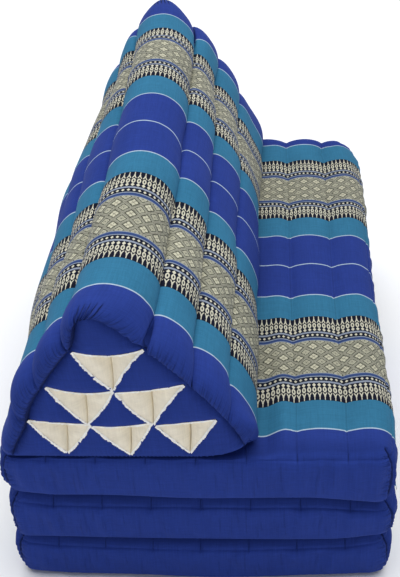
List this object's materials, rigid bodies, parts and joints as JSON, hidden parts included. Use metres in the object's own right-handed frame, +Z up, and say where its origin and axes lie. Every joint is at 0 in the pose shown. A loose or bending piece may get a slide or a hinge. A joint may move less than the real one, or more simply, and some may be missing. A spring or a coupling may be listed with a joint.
{
  "type": "thai triangle cushion with folded three-section mattress",
  "caption": "Triangular back cushion with sewn channels and white-lined end pockets, joined to a quilted mattress folded zigzag beneath it.",
  "frame": {"origin": "on the floor, under the middle of the whole article", "axes": "+Z up, +Y along the triangle cushion towards its back end, +X across it towards the open part of the top mat"},
  "size_m": [0.5662, 0.82, 0.5644],
  "materials": {
    "striped_cloth": "woven cotton, blue and teal stripes with cream figured bands",
    "cream_cotton": "plain undyed cotton, matt"
  },
  "bodies": {
    "root": {"triangle_cushion": "striped_cloth", "mat_top": "striped_cloth", "mat_middle": "striped_cloth", "mat_bottom": "striped_cloth", "hinge_triangle_to_top": "striped_cloth", "hinge_top_to_middle": "striped_cloth", "hinge_middle_to_bottom": "striped_cloth", "pocket_lining_front_1": "cream_cotton", "pocket_lining_front_2": "cream_cotton", "pocket_lining_front_3": "cream_cotton", "pocket_lining_front_4": "cream_cotton", "pocket_lining_front_5": "cream_cotton", "pocket_lining_front_6": "cream_cotton", "pocket_lining_back_1": "cream_cotton", "pocket_lining_back_2": "cream_cotton", "pocket_lining_back_3": "cream_cotton", "pocket_lining_back_4": "cream_cotton", "pocket_lining_back_5": "cream_cotton", "pocket_lining_back_6": "cream_cotton"}
  },
  "joints": []
}
